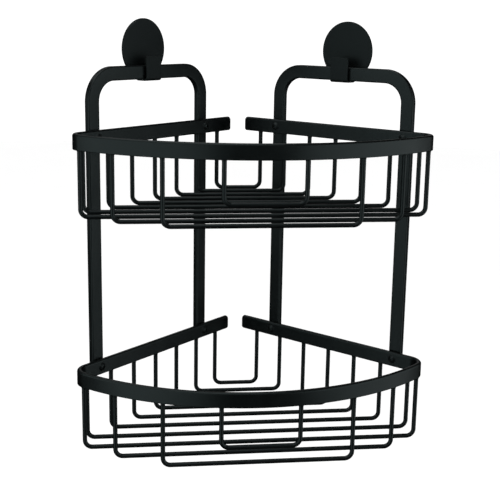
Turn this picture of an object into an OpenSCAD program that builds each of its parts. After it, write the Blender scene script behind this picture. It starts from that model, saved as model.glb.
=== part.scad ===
// Two-tier corner shower caddy that hangs on two wall hooks.
// The two walls meet behind it at a right angle, and each half lies along one wall.
// +X points to the right, -Y points out into the room, +Z is up.
// The origin is under the middle of the caddy, level with its lowest wire.

/* [Baskets] */
// Overall width of a basket's rim, across its two round corners
basket_w = 310; // [290:1:330]
// Distance from the corner of the walls to the front of the rim
basket_reach = 231; // [226:1:236]
// Height of the flat band that makes the rim
band_h = 13.5; // [10:0.5:16]
// Thickness of the band
band_t = 4.5; // [4:0.5:5]
// Outer radius of the rim's two round corners
corner_r = 16; // [14:1:20]
// Distance along each wall from the corner of the walls to the rim's open end
rim_end_gap = 14.5; // [10:0.5:18]
// Height from the lower rim to the upper rim
tier_pitch = 207; // [180:1:230]

/* [Basket wires] */
// Diameter of a wire
wire_d = 4; // [3:0.1:4.2]
// Depth of the basket, from the rim's underside to the middle of a wire's floor run
wire_depth = 56; // [45:1:65]
// The same depth for the shallow wire at the front
front_wire_depth = 36; // [30:0.5:40]
// Width of the shallow wire at the front, between the middles of its uprights
front_wire_w = 67; // [60:1:76]
// Distance from the corner of the walls to the rearmost wire
first_wire_y = 25; // [24:0.5:26]
// Distance from each wire to the next
wire_pitch = 20.9; // [20.4:0.1:21]
// Radius of the bends in a wire, along its middle line
wire_bend_r = 6.5; // [5:0.5:9]

/* [Upright frames] */
// Width of the flat bar
bar_w = 12.5; // [10:0.5:14]
// Thickness of the flat bar, from its wall side to its room side
bar_t = 6; // [5:0.5:7]
// Distance along the wall from the corner of the walls to the inner upright
inner_upright_s = 52.5; // [48:0.5:58]
// Distance along the wall from the corner of the walls to the outer upright
outer_upright_s = 193.8; // [190:0.1:196]
// Height of the frame's top above the lower rim's underside
frame_top = 273.8; // [262:0.1:285]
// Outer radius of the frame's two bends
frame_bend_r = 30; // [26:1:34]

/* [Rim screws] */
// Diameter of the screw's head
screw_head_d = 7.6; // [7:0.1:8.5]
// Height of the screw's domed head
screw_head_h = 2.2; // [1.8:0.1:2.6]
// Diameter of the screw's shank
screw_shank_d = 4; // [3.5:0.1:4.2]
// Width across the flats of the screw's hexagon socket
screw_key_w = 2.5; // [2:0.1:2.8]
// Diameter of the clearance hole in the rim
rim_hole_d = 4.4; // [4.3:0.1:4.8]

/* [Wall hooks] */
// Diameter of the hook's round plate
plate_d = 54; // [50:1:62]
// Thickness of the sheet that the hook is pressed from
hook_t = 1.5; // [1.2:0.1:2]
// Width of the strip that bends under the bar and up in front of it
strip_w = 19; // [16:1:24]
// Height of the plate's middle above the frame's top
plate_rise = 14.4; // [13:0.1:18]
// Gap between the plate and the bar
plate_gap = 3.6; // [3:0.1:5]
// Gap between the bar and the strip's upturned end
tip_gap = 1.6; // [1.2:0.1:2.5]
// Height of the strip's upturned end above the frame's top
tip_rise = 8.5; // [7:0.5:12]
// Inner radius of the strip's two bends
hook_bend_r = 1.4; // [1:0.1:1.6]
// Radius of the rounded corners at the strip's end
tip_corner_r = 2; // [1:0.5:4]
// Thickness of the adhesive pad behind the plate
pad_t = 1; // [0.8:0.1:2]
// How far the pad's edge lies inside the plate's edge
pad_inset = 1; // [0.5:0.5:3]

/* [Hidden] */
wire_count = 11;

LEFT = -1;
RIGHT = 1;
black = [0.13, 0.14, 0.145];
screw_black = [0.18, 0.19, 0.2];
pad_grey = [0.55, 0.56, 0.56];

// Heights are worked out from the lower rim's underside and distances from the corner
// of the walls. in_place() then moves everything to the origin.
lower_z = 0;
upper_z = tier_pitch;
lowest_z = -wire_depth - wire_d / 2;
rearmost_y = -rim_end_gap / sqrt(2);
middle_y = (rearmost_y - basket_reach) / 2;

// The rim's outside is two straight legs on the walls, a round corner on each side and
// one bow across the front. These give the round corner's centre and the bow's circle.
corner_x = basket_w / 2 - corner_r;
corner_y = -corner_x - corner_r * sqrt(2);
corner_reach = basket_reach + corner_y;
bow_r = (pow(corner_x, 2) + pow(corner_reach, 2) - pow(corner_r, 2))
    / (2 * (corner_reach - corner_r));
bow_y = bow_r - basket_reach;
// Direction from the bow's centre to the right-hand round corner's centre
corner_angle = atan2(corner_y - bow_y, corner_x);

corner_steps = 24;
bow_steps = 48;

// Half the width of the band's middle line, at a distance -y from the walls' corner
mid_t = band_t / 2;
round_starts_y = corner_y + (corner_r - mid_t) * sin(45);
round_ends_y = corner_y + (corner_r - mid_t) * sin(corner_angle);
function band_half_w(y) =
    y > round_starts_y ? -y - mid_t * sqrt(2) :
    y > round_ends_y ? corner_x + sqrt(pow(corner_r - mid_t, 2) - pow(y - corner_y, 2)) :
    sqrt(pow(bow_r - mid_t, 2) - pow(y - bow_y, 2));

// Wires are numbered from the rearmost, 1, to the shallow one at the front. Each stands
// under the band's middle line, to the nearest hundredth of a millimetre.
front_wire_y = bow_y - sqrt(pow(bow_r - mid_t, 2) - pow(front_wire_w / 2, 2));
function wire_y(i) = i == wire_count ? front_wire_y : -first_wire_y - (i - 1) * wire_pitch;
function wire_half_w(i) =
    i == wire_count ? front_wire_w / 2 : round(100 * band_half_w(wire_y(i))) / 100;
function wire_drop(i) = i == wire_count ? front_wire_depth : wire_depth;
function two_digits(i) = i < 10 ? str("0", i) : str(i);

// Hook places, counted into the room from the rim's back face
plate_face = -bar_t - plate_gap;
trough_z = frame_top - bar_w;
hook_s = (inner_upright_s + outer_upright_s) / 2;
plate_z = frame_top + plate_rise;

module in_place() {
    translate([0, -middle_y, -lowest_z]) children();
}

// Puts a part on one wall. Its X then runs along the wall from the corner of the walls,
// its Y points into the room from the rim's back face, and its Z is up.
module on_wall(side) {
    if (side == LEFT)
        rotate([0, 0, -135]) children();
    else
        mirror([1, 0, 0]) rotate([0, 0, -135]) children();
}

// A round bar along +Y, for the screws' shanks and the holes that they pass through
module round_bar(d, from, to) {
    translate([0, from, 0]) rotate([-90, 0, 0]) cylinder(d = d, h = to - from, $fn = 48);
}

// ---- Rims ----

function arc(centre, r, from, to, steps) = [
    for (k = [0 : steps])
        let (a = from + (to - from) * k / steps) centre + r * [cos(a), sin(a)]
];

// The right half of a line along the band, inset from its outside: from the open end
// along the wall, round the corner and along the bow to its middle
function half_line(inset) = concat(
    [[rim_end_gap - inset, -rim_end_gap - inset] / sqrt(2)],
    arc([corner_x, corner_y], corner_r - inset, 45, corner_angle, corner_steps),
    arc([0, bow_y], bow_r - inset, corner_angle, -90, bow_steps)
);

function mirrored(line) = [for (p = line) [-p[0], p[1]]];
function reversed(line) = [for (k = [len(line) - 1 : -1 : 0]) line[k]];

module rim() {
    outside = half_line(0);
    inside = half_line(band_t);
    difference() {
        linear_extrude(height = band_h) polygon(concat(
            outside,
            reversed(mirrored(outside)),
            mirrored(inside),
            reversed(inside)
        ));
        at_screws() round_bar(rim_hole_d, -1, band_t + 1);
    }
}

// Places a part at each of the four screws of one rim, at half the band's height
module at_screws() {
    for (side = [LEFT, RIGHT], s = [inner_upright_s, outer_upright_s])
        on_wall(side) translate([s, 0, band_h / 2]) children();
}

// ---- Basket wires ----

module wire_bend() {
    rotate([90, 0, 0]) rotate_extrude(angle = 90, $fn = 64)
        translate([wire_bend_r, 0]) circle(d = wire_d, $fn = 32);
}

// A wire bent to a U, hanging down from height 0
module wire(half_w, drop) {
    floor_w = 2 * (half_w - wire_bend_r);
    for (turn = [0, 180]) rotate([0, 0, turn]) {
        translate([half_w, 0, wire_bend_r - drop])
            cylinder(d = wire_d, h = drop - wire_bend_r, $fn = 32);
        translate([half_w - wire_bend_r, 0, wire_bend_r - drop])
            mirror([0, 0, 1]) wire_bend();
    }
    translate([-floor_w / 2, 0, -drop]) rotate([0, 90, 0])
        cylinder(d = wire_d, h = floor_w, $fn = 32);
}

module numbered_wire(i, rim_z) {
    color(black) in_place() translate([0, wire_y(i), rim_z]) wire(wire_half_w(i), wire_drop(i));
}

// ---- Upright frames ----

module frame_bend() {
    rotate([90, 0, 0]) rotate_extrude(angle = 90, $fn = 96)
        translate([frame_bend_r - bar_w, -bar_t]) square([bar_w, bar_t]);
}

// One flat bar bent to an upside-down U. Its room side lies on the rim's back face.
module frame() {
    left_s = inner_upright_s - bar_w / 2;
    right_s = outer_upright_s + bar_w / 2;
    bend_z = frame_top - frame_bend_r;
    difference() {
        union() {
            for (s = [left_s, right_s - bar_w])
                translate([s, -bar_t, lower_z]) cube([bar_w, bar_t, bend_z - lower_z]);
            translate([left_s + frame_bend_r, -bar_t, trough_z])
                cube([right_s - left_s - 2 * frame_bend_r, bar_t, bar_w]);
            translate([right_s - frame_bend_r, -bar_t, bend_z]) frame_bend();
            translate([left_s + frame_bend_r, -bar_t, bend_z])
                mirror([1, 0, 0]) frame_bend();
        }
        for (s = [inner_upright_s, outer_upright_s], rim_z = [lower_z, upper_z])
            translate([s, 0, rim_z + band_h / 2])
                round_bar(screw_shank_d + 0.1, -bar_t - 1, 1);
    }
}

// ---- Rim screws ----

// A screw with a domed head on the rim's inner face, threaded into the upright
module screw() {
    shank_end = -bar_t + 0.4;
    dome_r = (pow(screw_head_d / 2, 2) + pow(screw_head_h, 2)) / (2 * screw_head_h);
    socket_depth = screw_head_h * 0.6;
    round_bar(screw_shank_d, shank_end, band_t);
    difference() {
        translate([0, band_t, 0]) rotate([-90, 0, 0]) intersection() {
            cylinder(d = screw_head_d, h = screw_head_h, $fn = 48);
            translate([0, 0, screw_head_h - dome_r]) sphere(r = dome_r, $fn = 64);
        }
        translate([0, band_t + screw_head_h - socket_depth, 0]) rotate([-90, 0, 0])
            cylinder(d = screw_key_w / cos(30), h = screw_head_h, $fn = 6);
    }
}

module rim_screws(rim_z) {
    color(screw_black) in_place() translate([0, 0, rim_z]) at_screws() screw();
}

// ---- Wall hooks ----

// One of the strip's two quarter bends, about the X axis
module strip_bend() {
    rotate([0, 90, 0]) rotate_extrude(angle = 90, $fn = 48)
        translate([hook_bend_r, -strip_w / 2]) square([hook_t, strip_w]);
}

// The strip's upturned end, with round corners
module strip_tip(height) {
    rotate([90, 0, 0]) linear_extrude(height = hook_t) {
        translate([-strip_w / 2, 0]) square([strip_w, height - tip_corner_r]);
        translate([tip_corner_r - strip_w / 2, height - tip_corner_r])
            square([strip_w - 2 * tip_corner_r, tip_corner_r]);
        for (turn = [LEFT, RIGHT])
            translate([turn * (strip_w / 2 - tip_corner_r), height - tip_corner_r])
                circle(r = tip_corner_r, $fn = 32);
    }
}

// One sheet: a round plate and a strip that runs down from it, under the bar and up in front
module hook() {
    bend_z = trough_z + hook_bend_r;
    translate([hook_s, 0, 0]) {
        translate([0, plate_face - hook_t, plate_z]) rotate([-90, 0, 0])
            cylinder(d = plate_d, h = hook_t, $fn = 128);
        translate([-strip_w / 2, plate_face - hook_t, bend_z])
            cube([strip_w, hook_t, plate_z - bend_z]);
        translate([0, plate_face + hook_bend_r, bend_z]) mirror([0, 1, 0]) strip_bend();
        translate([-strip_w / 2, plate_face + hook_bend_r, trough_z - hook_t])
            cube([strip_w, tip_gap - plate_face - 2 * hook_bend_r, hook_t]);
        translate([0, tip_gap - hook_bend_r, bend_z]) strip_bend();
        translate([0, tip_gap + hook_t, bend_z]) strip_tip(frame_top + tip_rise - bend_z);
    }
}

module adhesive_pad() {
    translate([hook_s, plate_face - hook_t - pad_t, plate_z]) rotate([-90, 0, 0])
        cylinder(d = plate_d - 2 * pad_inset, h = pad_t, $fn = 128);
}

// ---- Named parts ----

module left_hook() { color(black) in_place() on_wall(LEFT) hook(); }
module right_hook() { color(black) in_place() on_wall(RIGHT) hook(); }
module left_adhesive_pad() { color(pad_grey) in_place() on_wall(LEFT) adhesive_pad(); }
module right_adhesive_pad() { color(pad_grey) in_place() on_wall(RIGHT) adhesive_pad(); }
module left_frame() { color(black) in_place() on_wall(LEFT) frame(); }
module right_frame() { color(black) in_place() on_wall(RIGHT) frame(); }
module lower_rim() { color(black) in_place() translate([0, 0, lower_z]) rim(); }
module upper_rim() { color(black) in_place() translate([0, 0, upper_z]) rim(); }
module lower_rim_screws() { rim_screws(lower_z); }
module upper_rim_screws() { rim_screws(upper_z); }

left_hook();
right_hook();
left_adhesive_pad();
right_adhesive_pad();
left_frame();
right_frame();
lower_rim();
upper_rim();
lower_rim_screws();
upper_rim_screws();
for (i = [1 : wire_count]) {
    numbered_wire(i, lower_z);
    numbered_wire(i, upper_z);
}
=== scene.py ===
"""Looks for a two-tier corner shower caddy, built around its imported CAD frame.

Every piece stands for one CAD node and takes its place and outer size from that node.
The two walls behind the caddy meet at a right angle. A point on a wall is given by its
distance along the wall from the corner of the walls, its distance into the room from
the rims' back faces, and its height.
"""

import math

import bmesh
import bpy
from mathutils import Matrix, Vector


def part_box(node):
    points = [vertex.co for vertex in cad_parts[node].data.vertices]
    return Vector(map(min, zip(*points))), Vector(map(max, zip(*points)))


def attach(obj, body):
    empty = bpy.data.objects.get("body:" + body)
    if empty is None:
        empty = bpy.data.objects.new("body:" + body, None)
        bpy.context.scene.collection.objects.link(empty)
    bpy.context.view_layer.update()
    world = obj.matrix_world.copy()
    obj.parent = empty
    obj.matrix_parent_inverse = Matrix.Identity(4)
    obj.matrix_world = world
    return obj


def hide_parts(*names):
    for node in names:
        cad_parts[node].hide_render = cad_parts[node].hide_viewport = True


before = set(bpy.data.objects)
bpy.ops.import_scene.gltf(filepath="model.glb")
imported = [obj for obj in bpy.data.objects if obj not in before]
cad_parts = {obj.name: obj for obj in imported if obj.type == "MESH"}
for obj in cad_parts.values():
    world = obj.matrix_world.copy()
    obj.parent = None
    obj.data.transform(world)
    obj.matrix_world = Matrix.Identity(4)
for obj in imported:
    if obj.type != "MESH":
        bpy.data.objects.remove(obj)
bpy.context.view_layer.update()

MM = 0.001
LEFT, RIGHT = -1, 1
SIDES = ((LEFT, "left"), (RIGHT, "right"))
UP = Vector((0, 0, 1))

# Rims
BAND_T = 4.5 * MM
BAND_TOP_R = 2 * MM
BAND_EDGE_R = 0.6 * MM
BAND_END_R = 2.5 * MM
CORNER_R = 16 * MM
CORNER_STEPS = 20
BOW_STEPS = 40

# Upright frames
BAR_W = 12.5 * MM
BAR_EDGE_R = 1.3 * MM
BEND_R = 30 * MM
BEND_STEPS = 24
HOLE_R = 2.05 * MM
HOLE_CHAMFER = 0.4 * MM

# Basket wires
WIRE_COUNT = 11
WIRE_BEND_R = 6.5 * MM
WIRE_BEND_STEPS = 10
WIRE_SIDES = 20
WELD_R = 0.4 * MM
WELD_H = 2.2 * MM
WELD_STEPS = 6
WELD_LUMP = 0.07 * MM
WELD_BITE = 0.3 * MM

# Wall hooks and their pads
HOOK_T = 1.5 * MM
STRIP_W = 19 * MM
TIP_RISE = 8.5 * MM
HOOK_BEND_R = 1.4 * MM
HOOK_BEND_STEPS = 8
TIP_CORNER_R = 2 * MM
TIP_CORNER_STEPS = 8
NECK_FILLET_R = 2 * MM
NECK_FILLET_STEPS = 6
PLATE_SIDES = 128
SHEET_EDGE_R = 0.35 * MM
FLAT_ANGLE = math.radians(0.5)
PAD_EDGE_R = 0.2 * MM
PAD_CENTRE_R = 0.4 * MM
PAD_RING_SHARE = 0.6

# Rim screws
HEAD_R = 3.8 * MM
HEAD_H = 2.2 * MM
SHANK_R = 2 * MM
KEY_W = 2.5 * MM
SOCKET_DEPTH = 1.32 * MM
SOCKET_LIP = 0.12 * MM
DOME_STEPS = 8
THREAD_PITCH = 0.7 * MM
THREAD_DEPTH = 0.25 * MM
THREAD_TURNS = 4
SCREW_TIP_RECESS = 0.4 * MM
SCREW_SIDES = 48

# All pieces
EDGE_STEPS = 5
BEVEL_SEGMENTS = 3
SMALLEST_R = 0.02 * MM
SHARP_ANGLE = math.radians(38)

# Noise scales, in waves a metre
CLOUD_WAVES = 35
PEEL_WAVES = 900
GRAIN_WAVES = 2600
OXIDE_WAVES = 400
TURNING_WAVES = 3500
FOAM_WAVES = 90
FOAM_CELLS = 2200

# The coat's and the screws' slightly green gloss
GLOSS_TINT = (0.80, 0.99, 1.0)

# Pointiness of a flat face, and of an edge that is painted lighter: partly thinner powder there,
# partly a painted edge highlight
FLAT_POINTINESS = 0.53
EDGE_POINTINESS = 0.62
EDGE_COAT_AND_HIGHLIGHT_GAIN = 2.2

# Studio, in metres. The camera's angles are in degrees.
FLOOR_Z = -1.2
FLOOR_R = 12
FLOOR_SIDES = 96
PANEL_X = 0.9
PANEL_FOOT_Z = 0.05
PANEL_TOP_Z = 0.7
CAMERA_PLACE = Vector((-0.1066, -0.8632, 0.3732))
CAMERA_YAW = -7.09
CAMERA_PITCH = 11.88
CAMERA_ROLL = 0.97
CAMERA_LENS = 70.2
CAMERA_SHIFT = -0.05


# ---- Materials ----
# Colours are linear, and roughness and specular levels are Blender's own, from 0 to 1.

def material(name):
    """A new material, its node tree and its Principled shader."""
    made = bpy.data.materials.new(name)
    made.use_nodes = True
    return made, made.node_tree, made.node_tree.nodes["Principled BSDF"]


def noise(tree, scale, detail=2.0, roughness=0.5):
    """A noise value in the object's own space; scale is in waves a metre."""
    place = tree.nodes.new("ShaderNodeTexCoord")
    node = tree.nodes.new("ShaderNodeTexNoise")
    node.inputs["Scale"].default_value = scale
    node.inputs["Detail"].default_value = detail
    node.inputs["Roughness"].default_value = roughness
    tree.links.new(place.outputs["Object"], node.inputs["Vector"])
    return node.outputs["Fac"]


def ramp(tree, value, low, high, start=0.0, end=1.0):
    """value from start to end, spread smoothly from low to high."""
    node = tree.nodes.new("ShaderNodeMapRange")
    node.interpolation_type = "SMOOTHSTEP"
    node.inputs["From Min"].default_value = start
    node.inputs["From Max"].default_value = end
    node.inputs["To Min"].default_value = low
    node.inputs["To Max"].default_value = high
    tree.links.new(value, node.inputs["Value"])
    return node.outputs["Result"]


def mix_colours(tree, factor, first, second):
    """A blend of two colours; either may be a colour or another node's output."""
    node = tree.nodes.new("ShaderNodeMix")
    node.data_type = "RGBA"
    tree.links.new(factor, node.inputs["Factor"])
    for socket, colour in ((node.inputs[6], first), (node.inputs[7], second)):
        if isinstance(colour, tuple):
            socket.default_value = (*colour, 1)
        else:
            tree.links.new(colour, socket)
    return node.outputs[2]


def total(tree, *values):
    """The sum of several nodes' values."""
    result = values[0]
    for value in values[1:]:
        node = tree.nodes.new("ShaderNodeMath")
        node.operation = "ADD"
        tree.links.new(result, node.inputs[0])
        tree.links.new(value, node.inputs[1])
        result = node.outputs["Value"]
    return result


def bump(tree, shader, height, strength, distance):
    """Raises the shader's surface by a node's value."""
    node = tree.nodes.new("ShaderNodeBump")
    node.inputs["Strength"].default_value = strength
    node.inputs["Distance"].default_value = distance
    tree.links.new(height, node.inputs["Height"])
    tree.links.new(node.outputs["Normal"], shader.inputs["Normal"])


def powder_coat(name, dark, light, roughness, specular):
    """Cured black powder: a fine orange-peel skin, cloudy gloss, and edges painted lighter, partly for
    thinner powder and partly as a painted edge highlight.
    """
    made, tree, shader = material(name)
    clouds = noise(tree, CLOUD_WAVES, 3)
    grain = noise(tree, GRAIN_WAVES, 1)
    peel = noise(tree, PEEL_WAVES, 2, 0.55)
    edge = tree.nodes.new("ShaderNodeNewGeometry").outputs["Pointiness"]
    # Edges are painted lighter: partly thinner powder there, partly a painted highlight along the
    # edges.
    edge_coat_and_highlight_mask = ramp(tree, edge, 0, 1, FLAT_POINTINESS, EDGE_POINTINESS)
    base = mix_colours(tree, ramp(tree, clouds, 0, 1, 0.3, 0.7), dark, light)
    thin_coat_and_painted_highlight = tuple(EDGE_COAT_AND_HIGHLIGHT_GAIN * part for part in light)
    tree.links.new(mix_colours(tree, edge_coat_and_highlight_mask, base, thin_coat_and_painted_highlight), shader.inputs["Base Color"])
    gloss = total(
        tree,
        ramp(tree, clouds, roughness - 0.03, roughness + 0.03, 0.3, 0.7),
        ramp(tree, grain, -0.03, 0.03, 0.3, 0.7),
        ramp(tree, edge, 0, -0.05, FLAT_POINTINESS, EDGE_POINTINESS),
    )
    tree.links.new(gloss, shader.inputs["Roughness"])
    shader.inputs["Specular IOR Level"].default_value = specular
    shader.inputs["Specular Tint"].default_value = (*GLOSS_TINT, 1)
    bump(tree, shader, total(tree, peel, ramp(tree, grain, 0, 0.25)), 0.35, 0.06 * MM)
    return made


def black_oxide():
    """Blackened screw steel with faint turning marks."""
    made, tree, shader = material("black_oxide")
    clouds = noise(tree, OXIDE_WAVES, 3)
    marks = noise(tree, TURNING_WAVES, 2)
    blued = mix_colours(tree, clouds, (0.0010, 0.0013, 0.0014), (0.0020, 0.0024, 0.0025))
    tree.links.new(blued, shader.inputs["Base Color"])
    tree.links.new(ramp(tree, clouds, 0.38, 0.48), shader.inputs["Roughness"])
    shader.inputs["Specular Tint"].default_value = (*GLOSS_TINT, 1)
    bump(tree, shader, marks, 0.25, 0.03 * MM)
    return made


def acrylic_foam():
    """The closed-cell foam of a mounting pad."""
    made, tree, shader = material("acrylic_foam")
    cells = tree.nodes.new("ShaderNodeTexVoronoi")
    cells.inputs["Scale"].default_value = FOAM_CELLS
    place = tree.nodes.new("ShaderNodeTexCoord")
    tree.links.new(place.outputs["Object"], cells.inputs["Vector"])
    clouds = noise(tree, FOAM_WAVES, 3)
    tone = mix_colours(tree, clouds, (0.40, 0.41, 0.41), (0.52, 0.53, 0.53))
    tree.links.new(tone, shader.inputs["Base Color"])
    tree.links.new(ramp(tree, clouds, 0.75, 0.9), shader.inputs["Roughness"])
    bump(tree, shader, cells.outputs["Distance"], 0.5, 0.1 * MM)
    return made


COATING = powder_coat("powder_coat", (0.0008, 0.0010, 0.0011), (0.0013, 0.0016, 0.0017), 0.36, 0.5)
HOOK_COATING = powder_coat(
    "hook_powder_coat", (0.0014, 0.0018, 0.0019), (0.0022, 0.0028, 0.0030), 0.48, 0.38
)
SCREW_STEEL = black_oxide()
FOAM = acrylic_foam()


# ---- Places read from the frame ----

def wall_axes(side):
    """Directions along a wall, away from the corner of the walls, and into the room."""
    along = Vector((side, -1, 0)).normalized()
    room = Vector((-side, -1, 0)).normalized()
    return along, room


def corner_of_walls():
    """The vertical line where the rims' back faces would meet, as its foot at height 0."""
    room = wall_axes(LEFT)[1]
    depth = min(v.co.dot(room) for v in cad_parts["lower_rim"].data.vertices)
    return Vector((0, -depth * math.sqrt(2), 0))


CORNER = corner_of_walls()


def on_wall(side, s, y, z):
    """The point at s along a wall, y into the room and z up."""
    along, room = wall_axes(side)
    return CORNER + along * s + room * y + UP * z


def wall_box(node, side):
    """A node's lowest and highest s, y and z on its wall."""
    along, room = wall_axes(side)
    points = [v.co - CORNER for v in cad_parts[node].data.vertices]
    spans = [[p.dot(axis) for p in points] for axis in (along, room, UP)]
    return [min(span) for span in spans], [max(span) for span in spans]


# ---- Meshes ----

def cut_out(obj, cutter):
    """Takes the cutter's shape out of obj, for good, and removes the cutter."""
    modifier = obj.modifiers.new("cut", "BOOLEAN")
    modifier.operation = "DIFFERENCE"
    modifier.solver = "EXACT"
    modifier.object = cutter
    graph = bpy.context.evaluated_depsgraph_get()
    made = bpy.data.meshes.new_from_object(obj.evaluated_get(graph))
    obj.modifiers.clear()
    obj.data = made
    bpy.data.objects.remove(cutter)


def mesh_object(name, verts, faces):
    """A mesh in the scene, with all its faces turned outwards."""
    mesh = bpy.data.meshes.new(name)
    work = bmesh.new()
    made = [work.verts.new(v) for v in verts]
    for face in faces:
        work.faces.new([made[k] for k in face])
    bmesh.ops.recalc_face_normals(work, faces=work.faces)
    work.to_mesh(mesh)
    work.free()
    obj = bpy.data.objects.new(name, mesh)
    bpy.context.scene.collection.objects.link(obj)
    return obj


def finish_piece(obj, node, body, look, edge_r=0.0):
    """Shades a piece, rounds its sharp edges if edge_r is given, and puts it on its body."""
    if edge_r:
        bevel = obj.modifiers.new("rounded_edges", "BEVEL")
        bevel.width = edge_r
        bevel.segments = BEVEL_SEGMENTS
        bevel.limit_method = "ANGLE"
        bevel.angle_limit = SHARP_ANGLE
    obj.data.shade_smooth()
    if not edge_r:
        obj.data.set_sharp_from_angle(angle=SHARP_ANGLE)
    normals = obj.modifiers.new("flat_faces_stay_flat", "WEIGHTED_NORMAL")
    normals.keep_sharp = True
    obj.data.materials.clear()
    obj.data.materials.append(look)
    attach(obj, body)
    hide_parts(node)


def joined(rings, closed_ends=True):
    """Vertices and faces of a tube through equal rings of points."""
    sides = len(rings[0])
    faces = []
    for k in range(len(rings) - 1):
        for j in range(sides):
            a, b = k * sides + j, k * sides + (j + 1) % sides
            faces.append((a, b, b + sides, a + sides))
    if closed_ends:
        faces.append(tuple(range(sides)))
        faces.append(tuple(range((len(rings) - 1) * sides, len(rings) * sides)))
    return [point for ring in rings for point in ring], faces


def rounded_section(w, h, top_r, bottom_r):
    """A rectangle w by h with rounded corners, as pairs round its middle."""
    points = []
    corners = ((1, 1, 0, top_r), (-1, 1, 90, top_r), (-1, -1, 180, bottom_r), (1, -1, 270, bottom_r))
    for x, y, start, r in corners:
        for k in range(EDGE_STEPS + 1):
            a = math.radians(start + 90 * k / EDGE_STEPS)
            points.append((x * (w / 2 - r) + r * math.cos(a), y * (h / 2 - r) + r * math.sin(a)))
    return points


def rounding(r, distance):
    """How far a corner of radius r has drawn in at a distance from the end."""
    return r - math.sqrt(max(0, r * r - max(0, r - distance) ** 2))


def end_distances(*radii):
    """Distances from a bar's end at which its rounding needs a ring."""
    found = set()
    for r in radii:
        for k in range(EDGE_STEPS + 1):
            found.add(round(r * (1 - math.cos(math.pi / 2 * k / EDGE_STEPS)), 7))
    return sorted(found)


def flat_bar(line, up, w, h, edge_r, end_r, top_r=0.0):
    """Rings of a flat bar along a line of (point, across) pairs.

    The bar is w across and h along up. Its edges have radius edge_r, or top_r if that is
    given for the two that up points to. Its ends are also rounded by end_r as seen along
    across.
    """
    top_r = top_r or edge_r
    rings = []

    def ring(point, across, distance):
        inset = rounding(edge_r, distance)
        bottom = max(edge_r - inset, SMALLEST_R)
        top = max(top_r - inset, SMALLEST_R)
        section = rounded_section(w - 2 * inset, h - 2 * rounding(end_r, distance), top, bottom)
        rings.append([point + across * a + up * b for a, b in section])

    (first, across), (second, _) = line[:2]
    inward = (second - first).normalized()
    for distance in end_distances(edge_r, end_r):
        ring(first + inward * distance, across, distance)
    for point, across_here in line[1:-1]:
        ring(point, across_here, max(edge_r, end_r))
    (second, _), (last, across) = line[-2:]
    inward = (second - last).normalized()
    for distance in reversed(end_distances(edge_r, end_r)):
        ring(last + inward * distance, across, distance)
    return rings


def arc(centre, first_axis, second_axis, r, start, end, steps):
    """(point, outward direction) pairs on an arc; angles in degrees from first_axis."""
    pairs = []
    for k in range(steps + 1):
        a = math.radians(start + (end - start) * k / steps)
        out = first_axis * math.cos(a) + second_axis * math.sin(a)
        pairs.append((centre + out * r, out))
    return pairs


def lathe(side, s, z, profile, sides, shape=None):
    """A turned piece whose axis points into the room. profile holds (radius, y) pairs.

    shape, if given, is called with a pair and an angle, and gives the pair to use there.
    """
    along = wall_axes(side)[0]
    rings = []
    for r, y in profile:
        ring = []
        for j in range(sides):
            a = 2 * math.pi * j / sides
            radius, depth = shape(r, y, a) if shape else (r, y)
            ring.append(on_wall(side, s, depth, z) + (along * math.cos(a) + UP * math.sin(a)) * radius)
        rings.append(ring)
    return joined(rings)


# ---- Rims ----

def rim_line(node):
    """The band's middle line in plan, from the right-hand open end to the left-hand one."""
    low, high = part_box(node)
    height = (low.z + high.z) / 2
    centre_x = high.x - CORNER_R
    centre_y = -centre_x - CORNER_R * math.sqrt(2)
    reach = CORNER.y - low.y
    past = reach + centre_y
    bow_r = (centre_x ** 2 + past ** 2 - CORNER_R ** 2) / (2 * (past - CORNER_R))
    bow_centre = Vector((0, CORNER.y - reach + bow_r, height))
    round_centre = Vector((centre_x, CORNER.y + centre_y, height))
    turn = math.degrees(math.atan2(round_centre.y - bow_centre.y, centre_x))
    x_axis, y_axis = Vector((1, 0, 0)), Vector((0, 1, 0))
    end_gap = (CORNER.y - high.y) * math.sqrt(2)
    outward = -wall_axes(RIGHT)[1]
    inset = BAND_T / 2
    half = [(on_wall(RIGHT, end_gap, inset, height), outward)]
    half += arc(round_centre, x_axis, y_axis, CORNER_R - inset, 45, turn, CORNER_STEPS)
    half += arc(bow_centre, x_axis, y_axis, bow_r - inset, turn, -90, BOW_STEPS)[1:]
    flip = Matrix.Diagonal((-1, 1, 1))
    return half + [(flip @ point, flip @ out) for point, out in reversed(half[:-1])]


def build_rim(tier):
    """A flat band on edge, bent round the basket and open at the corner of the walls."""
    node = f"{tier}_rim"
    low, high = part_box(node)
    rings = flat_bar(rim_line(node), UP, BAND_T, high.z - low.z, BAND_EDGE_R, BAND_END_R, BAND_TOP_R)
    rim = mesh_object(f"{tier}_basket_rim", *joined(rings))
    finish_piece(rim, node, "caddy", COATING)


# ---- Upright frames ----

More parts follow.
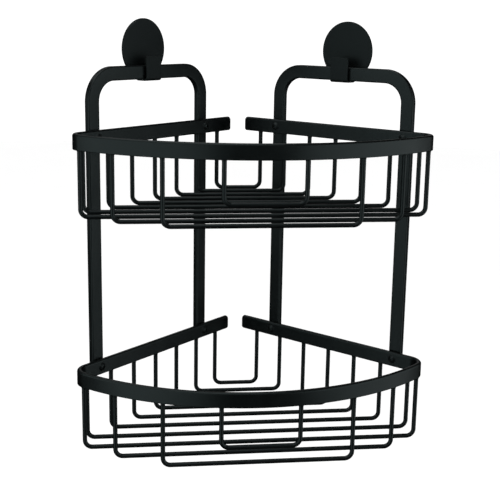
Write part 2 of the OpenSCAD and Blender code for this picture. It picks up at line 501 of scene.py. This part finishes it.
def build_frame(side, word):
    """A flat bar bent to an upside-down U, with a chamfered hole behind each screw."""
    node = f"{word}_frame"
    (s0, y0, z0), (s1, y1, z1) = wall_box(node, side)
    along, room = wall_axes(side)
    depth = (y0 + y1) / 2
    r = BEND_R - BAR_W / 2
    near = on_wall(side, s0 + BEND_R, depth, z1 - BEND_R)
    far = on_wall(side, s1 - BEND_R, depth, z1 - BEND_R)
    line = [(on_wall(side, s0 + BAR_W / 2, depth, z0), -along)]
    line += arc(near, -along, UP, r, 0, 90, BEND_STEPS)
    line += arc(far, UP, along, r, 0, 90, BEND_STEPS)
    line += [(on_wall(side, s1 - BAR_W / 2, depth, z0), along)]
    rings = flat_bar(line, room, BAR_W, y1 - y0, BAR_EDGE_R, BAR_EDGE_R)
    bar = mesh_object(f"{word}_upright_frame", *joined(rings))
    for s, z in screw_places(side, word):
        profile = [
            (HOLE_R + HOLE_CHAMFER + MM, y0 - MM),
            (HOLE_R, y0 + HOLE_CHAMFER),
            (HOLE_R, y1 + MM),
        ]
        hole = mesh_object("hole", *lathe(side, s, z, profile, SCREW_SIDES))
        cut_out(bar, hole)
    finish_piece(bar, node, "caddy", COATING)


# ---- Basket wires ----

def wire_ring(point, across, r, lump=0.0, phase=0.0):
    """A round ring about a point, in the plane of across and Y."""
    ring = []
    for j in range(WIRE_SIDES):
        a = 2 * math.pi * j / WIRE_SIDES
        radius = r + lump * math.sin(3 * a + phase)
        ring.append(point + across * (radius * math.cos(a)) + Vector((0, radius * math.sin(a), 0)))
    return ring


def build_wire(tier, number):
    """A U of round wire whose two ends flare into welds under the rim."""
    node = f"{tier}_wire_{number:02d}"
    low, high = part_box(node)
    r = (high.y - low.y) / 2
    y = (high.y + low.y) / 2
    half_w = high.x - r
    bend_z = low.z + r + WIRE_BEND_R
    x_axis = Vector((1, 0, 0))
    weld = [(high.z + WELD_BITE, WELD_R)]
    for k in range(WELD_STEPS + 1):
        t = WELD_H * (k / WELD_STEPS) ** 1.5
        weld.append((high.z - t, WELD_R * (1 - math.sqrt(1 - (1 - t / WELD_H) ** 2))))
    rings = []
    for z, flare in weld:
        lump = WELD_LUMP * flare / WELD_R
        rings.append(wire_ring(Vector((half_w, y, z)), x_axis, r + flare, lump, number))
    centre = Vector((half_w - WIRE_BEND_R, y, bend_z))
    for point, out in arc(centre, x_axis, -UP, WIRE_BEND_R, 0, 90, WIRE_BEND_STEPS):
        rings.append(wire_ring(point, out, r))
    centre = Vector((WIRE_BEND_R - half_w, y, bend_z))
    for point, out in arc(centre, -UP, -x_axis, WIRE_BEND_R, 0, 90, WIRE_BEND_STEPS):
        rings.append(wire_ring(point, out, r))
    for z, flare in reversed(weld):
        lump = WELD_LUMP * flare / WELD_R
        rings.append(wire_ring(Vector((-half_w, y, z)), -x_axis, r + flare, lump, 2 * number))
    wire = mesh_object(f"{tier}_basket_wire_{number:02d}", *joined(rings))
    finish_piece(wire, node, "caddy", COATING)


# ---- Rim screws ----

def screw_places(side, word):
    """(distance along the wall, height) of each screw on one wall."""
    (s0, _, _), (s1, _, _) = wall_box(f"{word}_frame", side)
    heights = [sum(v.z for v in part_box(f"{tier}_rim")) / 2 for tier in ("lower", "upper")]
    return [(s, z) for s in (s0 + BAR_W / 2, s1 - BAR_W / 2) for z in heights]


def dome_height(r):
    """Height of the head's dome above its underside, at a radius."""
    dome_r = (HEAD_R ** 2 + HEAD_H ** 2) / (2 * HEAD_H)
    return HEAD_H - dome_r + math.sqrt(dome_r ** 2 - r ** 2)


def socket_r(a):
    """Distance from the axis to the side of the hexagon socket, in direction a."""
    sixth = math.pi / 3
    return KEY_W / 2 / math.cos((a + sixth / 2) % sixth - sixth / 2)


def screw_shape(side, s, z, tip_y):
    """A domed head with a hexagon socket, and a threaded shank."""
    profile = [(SHANK_R - 2 * THREAD_DEPTH, tip_y)]
    for turn in range(THREAD_TURNS):
        start = tip_y + (turn + 0.5) * THREAD_PITCH
        profile.append((SHANK_R, start))
        profile.append((SHANK_R - THREAD_DEPTH, start + THREAD_PITCH / 2))
    profile.append((SHANK_R, tip_y + (THREAD_TURNS + 0.5) * THREAD_PITCH))
    profile.append((SHANK_R, BAND_T))
    profile.append((HEAD_R, BAND_T))
    dome_end_r = KEY_W / 2 / math.cos(math.pi / 6) + 2 * SOCKET_LIP
    for k in range(1, DOME_STEPS + 1):
        r = HEAD_R + (dome_end_r - HEAD_R) * k / DOME_STEPS
        profile.append((r, BAND_T + dome_height(r)))
    # The socket's rings are hexagons: round its lip, just inside it and at its floor.
    floor_y = BAND_T + HEAD_H - SOCKET_DEPTH
    hexagons = [(SOCKET_LIP, None), (0, None), (0, floor_y)]
    profile += hexagons

    def shape(r, y, a):
        if (r, y) not in hexagons:
            return r, y
        wall_r = socket_r(a)
        if y is None:
            return wall_r + r, BAND_T + dome_height(wall_r + r) - (SOCKET_LIP - r)
        return wall_r, y

    return lathe(side, s, z, profile, SCREW_SIDES, shape)


def build_screws(tier):
    """The four screws of one rim, as one piece."""
    node = f"{tier}_rim_screws"
    rim_low, rim_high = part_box(f"{tier}_rim")
    verts, faces = [], []
    for side, word in SIDES:
        tip_y = wall_box(f"{word}_frame", side)[0][1] + SCREW_TIP_RECESS
        for s, z in screw_places(side, word):
            if rim_low.z < z < rim_high.z:
                more, their_faces = screw_shape(side, s, z, tip_y)
                faces += [tuple(k + len(verts) for k in face) for face in their_faces]
                verts += more
    screws = mesh_object(f"{tier}_basket_screws", verts, faces)
    finish_piece(screws, node, "caddy", SCREW_STEEL)


# ---- Wall hooks and pads ----

def hook_rows(side, word):
    """Rows across the hook's sheet, from the top of its plate to the end of its strip.

    Each row is (half width, y, z, y and z of the direction away from the bar), for the
    sheet's face that touches the bar.
    """
    (s0, y0, z0), (s1, y1, z1) = wall_box(f"{word}_hook", side)
    plate_r = (s1 - s0) / 2
    plate_z = z1 - plate_r
    plate_y = y0 + HOOK_T
    tip_y = y1 - HOOK_T
    trough_z = z0 + HOOK_T
    tip_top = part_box(f"{word}_frame")[1].z + TIP_RISE
    half = STRIP_W / 2
    rows = []
    fillet_x = half + NECK_FILLET_R
    fillet_drop = math.sqrt((plate_r + NECK_FILLET_R) ** 2 - fillet_x ** 2)
    neck_angle = 180 - math.degrees(math.atan2(fillet_x, fillet_drop))
    step = 360 / PLATE_SIDES
    count = int((neck_angle - step / 2) / step)
    for k in range(count + 1):
        a = math.radians(step / 2 + (neck_angle - step / 2) * k / count)
        rows.append((plate_r * math.sin(a), plate_y, plate_z + plate_r * math.cos(a), -1, 0))
    start = math.atan2(fillet_drop, -fillet_x)
    for k in range(1, NECK_FILLET_STEPS + 1):
        a = start + (math.pi - start) * k / NECK_FILLET_STEPS
        w = fillet_x + NECK_FILLET_R * math.cos(a)
        rows.append((w, plate_y, plate_z - fillet_drop + NECK_FILLET_R * math.sin(a), -1, 0))
    for first, centre_y in ((180, plate_y + HOOK_BEND_R), (270, tip_y - HOOK_BEND_R)):
        for k in range(HOOK_BEND_STEPS + 1):
            a = math.radians(first + 90 * k / HOOK_BEND_STEPS)
            out_y, out_z = math.cos(a), math.sin(a)
            y = centre_y + HOOK_BEND_R * out_y
            rows.append((half, y, trough_z + HOOK_BEND_R * (1 + out_z), out_y, out_z))
    for k in range(TIP_CORNER_STEPS + 1):
        a = math.radians(90 * k / TIP_CORNER_STEPS)
        w = half - TIP_CORNER_R * (1 - math.cos(a))
        rows.append((w, tip_y, tip_top - TIP_CORNER_R * (1 - math.sin(a)), 1, 0))
    return (s0 + s1) / 2, rows


def build_hook(side, word):
    """One sheet: a round plate and a strip bent under the bar and up in front of it."""
    node = f"{word}_hook"
    middle, rows = hook_rows(side, word)
    rings = []
    for w, y, z, out_y, out_z in rows:
        outer_y, outer_z = y + out_y * HOOK_T, z + out_z * HOOK_T
        rings.append([
            on_wall(side, middle - w, y, z),
            on_wall(side, middle + w, y, z),
            on_wall(side, middle + w, outer_y, outer_z),
            on_wall(side, middle - w, outer_y, outer_z),
        ])
    hook = mesh_object(f"{word}_wall_hook", *joined(rings))
    work = bmesh.new()
    work.from_mesh(hook.data)
    bmesh.ops.dissolve_limit(work, angle_limit=FLAT_ANGLE, verts=work.verts, edges=work.edges)
    work.to_mesh(hook.data)
    work.free()
    finish_piece(hook, node, "wall_hooks", HOOK_COATING, SHEET_EDGE_R)


def build_pad(side, word):
    """A round foam pad with softly rounded edges."""
    node = f"{word}_adhesive_pad"
    (s0, y0, z0), (s1, y1, z1) = wall_box(node, side)
    r = (s1 - s0) / 2
    inner = r - PAD_EDGE_R
    profile = [(PAD_CENTRE_R, y0), (PAD_RING_SHARE * r, y0)]
    for centre_y, first in ((y0 + PAD_EDGE_R, 270), (y1 - PAD_EDGE_R, 0)):
        for k in range(EDGE_STEPS + 1):
            a = math.radians(first + 90 * k / EDGE_STEPS)
            profile.append((inner + PAD_EDGE_R * math.cos(a), centre_y + PAD_EDGE_R * math.sin(a)))
    profile += [(PAD_RING_SHARE * r, y1), (PAD_CENTRE_R, y1)]
    shape = lathe(side, (s0 + s1) / 2, (z0 + z1) / 2, profile, PLATE_SIDES)
    pad = mesh_object(f"{word}_foam_pad", *shape)
    finish_piece(pad, node, "wall_hooks", FOAM)


for side, word in SIDES:
    build_hook(side, word)
    build_pad(side, word)
    build_frame(side, word)
for tier in ("lower", "upper"):
    build_rim(tier)
    build_screws(tier)
    for number in range(1, WIRE_COUNT + 1):
        build_wire(tier, number)


# ---- Studio ----

def area_light(name, place, turn, size, radiance, colour):
    """A soft rectangular light that the camera does not see."""
    light = bpy.data.lights.new(name, "AREA")
    light.shape = "RECTANGLE"
    light.size, light.size_y = size
    light.energy = radiance * math.pi * light.size * light.size_y
    light.color = colour
    obj = bpy.data.objects.new(name, light)
    obj.matrix_world = Matrix.Translation(place) @ turn.to_4x4()
    obj.visible_camera = False
    bpy.context.scene.collection.objects.link(obj)


def side_panel(name, side, rear_y, front_y, low, high, radiance, colour):
    """An upright panel beside the caddy that faces straight across it."""
    place = Vector((side * PANEL_X, (rear_y + front_y) / 2, (low + high) / 2))
    turn = Vector((-side, 0, 0)).to_track_quat("-Z", "Y").to_matrix()
    area_light(name, place, turn, (abs(front_y - rear_y), high - low), radiance, colour)


def softbox(name, place, target, size, radiance):
    """A white light that faces a target."""
    turn = (Vector(target) - Vector(place)).to_track_quat("-Z", "Y").to_matrix()
    area_light(name, Vector(place), turn, size, radiance, (1, 1, 1))


def build_floor():
    """A wide, pale, round floor below the hanging caddy, which gloss doesn't see."""
    points = []
    for k in range(FLOOR_SIDES):
        a = 2 * math.pi * k / FLOOR_SIDES
        points.append(Vector((FLOOR_R * math.cos(a), FLOOR_R * math.sin(a), FLOOR_Z)))
    floor = mesh_object("floor", points, [tuple(range(FLOOR_SIDES))])
    made, tree, shader = material("floor_paint")
    tone = mix_colours(tree, noise(tree, 1.5, 2), (0.93, 0.93, 0.93), (0.95, 0.95, 0.95))
    tree.links.new(tone, shader.inputs["Base Color"])
    shader.inputs["Roughness"].default_value = 0.8
    floor.data.materials.append(made)
    floor.visible_glossy = False


def build_world(seen, mirrored):
    """A white surround that gloss sees as nearly black, like the cards round a studio set."""
    world = bpy.data.worlds.new("surround")
    world.use_nodes = True
    tree = world.node_tree
    background = tree.nodes["Background"]
    path = tree.nodes.new("ShaderNodeLightPath")
    strength = tree.nodes.new("ShaderNodeMapRange")
    strength.inputs["To Min"].default_value = seen
    strength.inputs["To Max"].default_value = mirrored
    tree.links.new(path.outputs["Is Glossy Ray"], strength.inputs["Value"])
    tree.links.new(strength.outputs["Result"], background.inputs["Strength"])
    background.inputs["Color"].default_value = (1, 1, 1, 1)
    bpy.context.scene.world = world


def build_camera():
    """The photograph's view: close, a little to the left, and looking slightly down."""
    camera = bpy.data.cameras.new("camera")
    camera.sensor_width = 36
    camera.lens = CAMERA_LENS
    camera.shift_y = CAMERA_SHIFT
    obj = bpy.data.objects.new("camera", camera)
    yaw, pitch, roll = (math.radians(a) for a in (CAMERA_YAW, CAMERA_PITCH, CAMERA_ROLL))
    ahead = math.cos(pitch)
    forward = Vector((-math.sin(yaw) * ahead, math.cos(yaw) * ahead, -math.sin(pitch)))
    right = Vector((math.cos(yaw), math.sin(yaw), 0))
    up = right.cross(forward)
    turned_right = right * math.cos(roll) + up * math.sin(roll)
    turned_up = up * math.cos(roll) - right * math.sin(roll)
    turn = Matrix((turned_right, turned_up, -forward)).transposed()
    obj.matrix_world = Matrix.Translation(CAMERA_PLACE) @ turn.to_4x4()
    bpy.context.scene.collection.objects.link(obj)
    bpy.context.scene.camera = obj


# The caddy's flat faces mirror the side panels. The gap between the panels' front edges is
# dark, and the middle of each bow mirrors it. A panel's numbers are its rear and front y,
# its low and high z, and its radiance.
cool_left = (0.93, 1, 1)
cool_right = (0.97, 1, 1)
side_panel("left_panel", LEFT, -0.28, -2.67, -0.85, PANEL_TOP_Z, 0.64, cool_left)
side_panel("left_rear_panel", LEFT, -0.06, -0.28, PANEL_FOOT_Z, PANEL_TOP_Z, 0.84, cool_left)
side_panel("right_panel", RIGHT, 0, -1.92, -0.52, 0.1, 0.66, cool_right)
side_panel("right_high_panel", RIGHT, 0.05, -1.92, 0.1, PANEL_TOP_Z, 0.85, cool_right)
softbox("top_softbox", (-0.5, -0.5, 1.5), (-0.5, -0.5, 0), (1.6, 2.8), 0.8)
softbox("rear_panel", (0.3, 2, 0.9), (0, 0, 0.15), (1.6, 1.6), 0.25)
build_floor()
build_world(seen=1.15, mirrored=0.01)
build_camera()
bpy.context.scene.view_settings.view_transform = "Standard"
